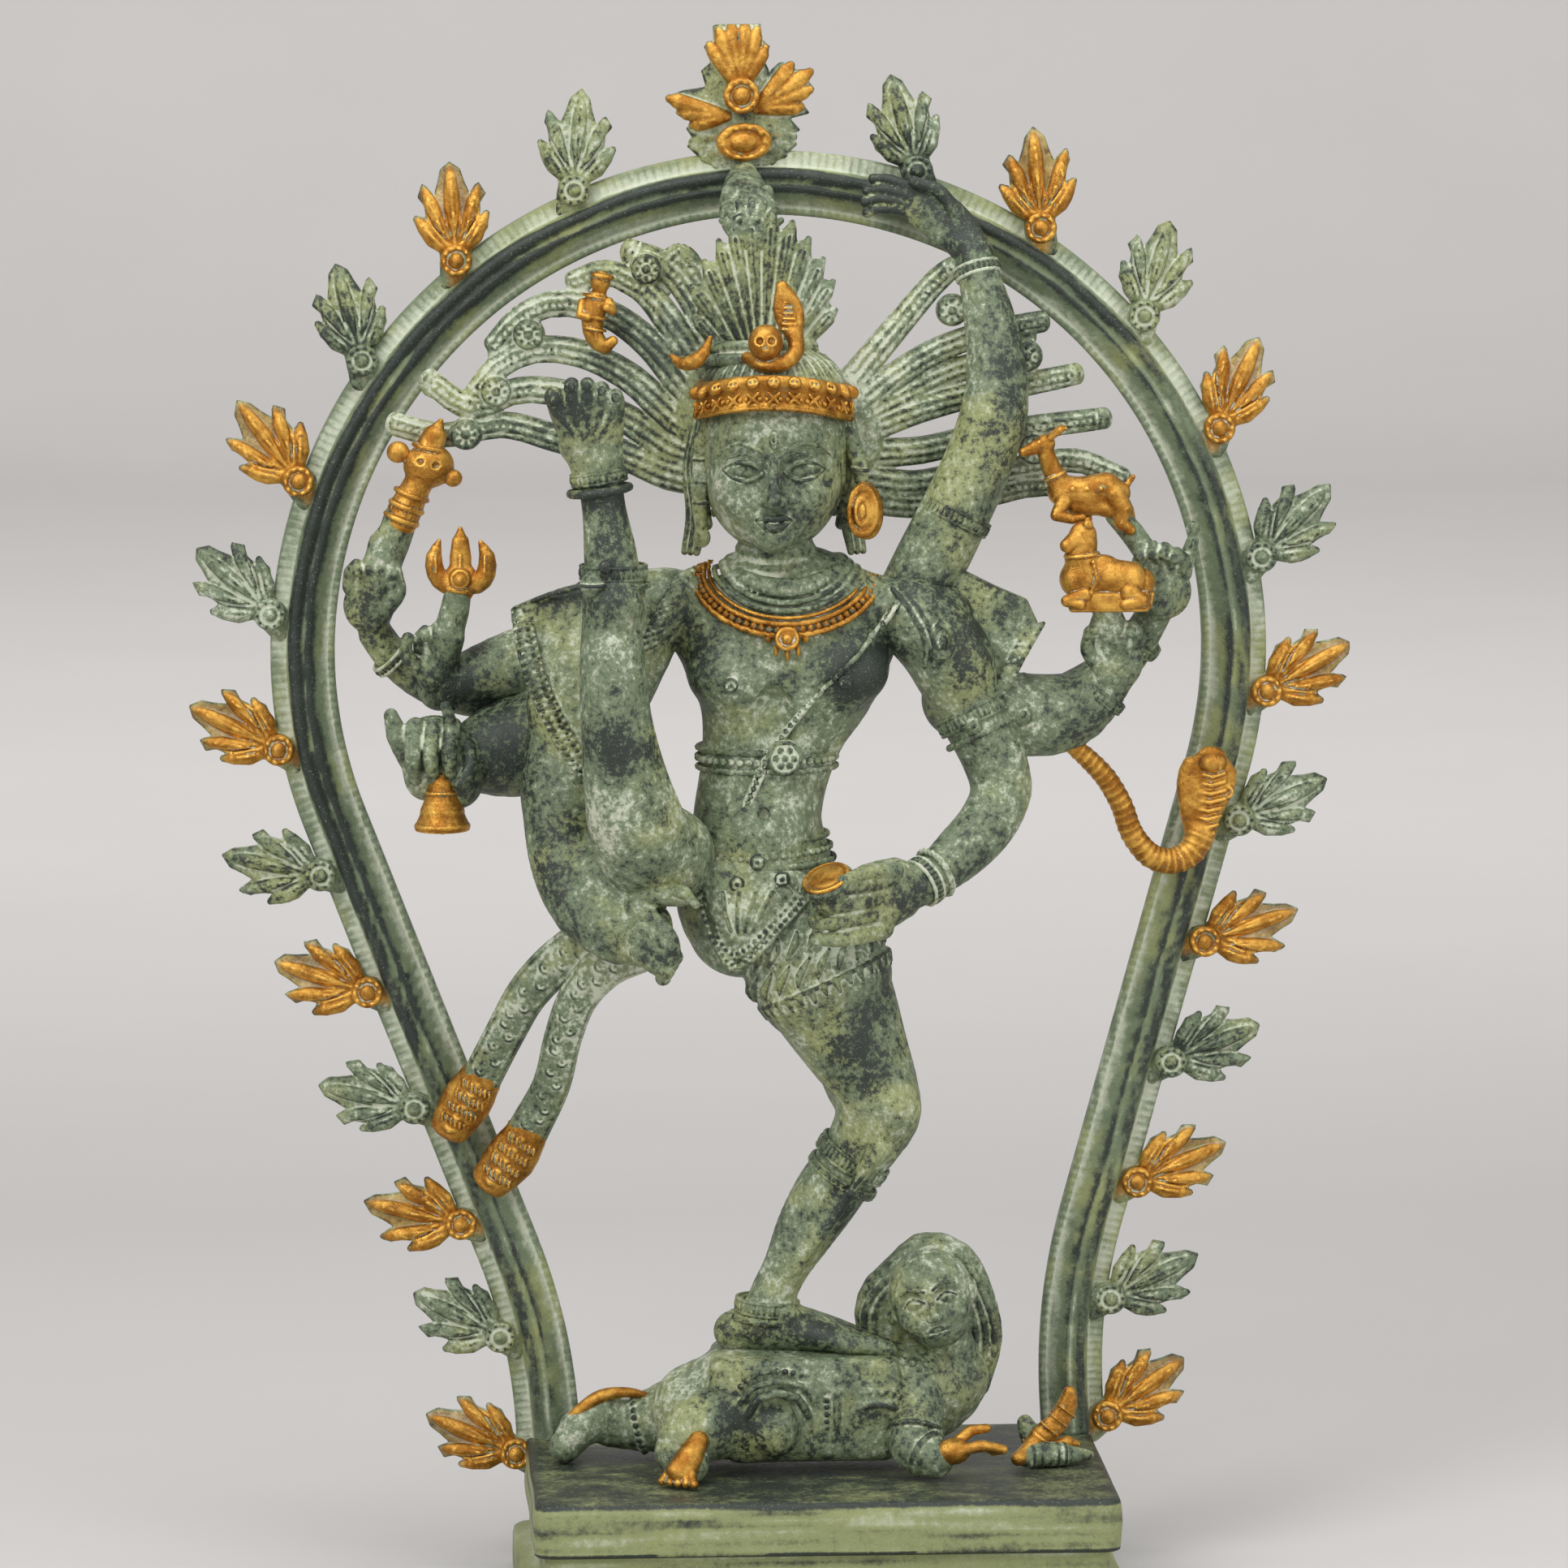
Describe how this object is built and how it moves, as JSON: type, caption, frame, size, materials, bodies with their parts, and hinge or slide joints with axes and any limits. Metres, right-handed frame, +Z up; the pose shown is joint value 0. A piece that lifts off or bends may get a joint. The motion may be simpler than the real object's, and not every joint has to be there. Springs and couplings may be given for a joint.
{
  "type": "brass nataraja statue",
  "caption": "Cast brass dancing deity with several arms on a dwarf, inside a flame arch on a hollow pedestal, green patina with gilding.",
  "frame": {"origin": "middle of the rectangular rim that the pedestal stands on", "axes": "+X to the viewer's right, +Y away from the viewer, +Z up"},
  "size_m": [0.5808, 0.196, 0.7806],
  "materials": {
    "patina": "green-grey patina, dark on rubbed edges",
    "gilding": "gilded",
    "fasteners": "plain"
  },
  "bodies": {
    "root": {"anklets": "patina", "apron": "patina", "armlets": "patina", "bell_arm": "patina", "belly_band": "patina", "bracelets": "patina", "bull": "gilding", "bull_arm": "patina", "cobra": "gilding", "crescent_moon": "gilding", "crest_leaf": "gilding", "cup": "patina", "deer": "gilding", "deer_arm": "patina", "dwarf_arm": "patina", "dwarf_body": "patina", "dwarf_hair": "patina", "dwarf_head": "patina", "dwarf_legs": "patina", "dwarf_snake": "gilding", "ear_ornaments": "patina", "flame_arch": "patina", "flame_bosses_gilded": "gilding", "flame_bosses_patinated": "patina", "flame_leaves_gilded": "gilding", "flame_leaves_patinated": "patina", "garter_bells": "patina", "hair_cobra": "patina", "hair_locks": "patina", "hair_rosettes": "patina", "hand_bell": "gilding", "head": "patina", "headband": "gilding", "hip_arm": "patina", "hip_belt": "patina", "knee_garters": "patina", "mace_arm": "patina", "necklace": "gilding", "nuts": "fasteners", "pedestal": "patina", "plume_fan": "patina", "plume_finial": "patina", "raised_arm": "patina", "raised_leg": "patina", "river_goddess": "gilding", "sacred_thread": "patina", "sash_tails": "patina", "sash_tips": "gilding", "shoulder_capes": "patina", "skull_mace": "gilding", "skull_ornament": "patina", "standing_leg": "patina", "thigh_arm": "patina", "tiger_skin_cuff": "patina", "torso": "patina", "trident": "gilding", "trident_arm": "patina", "washers": "fasteners"}
  },
  "joints": []
}
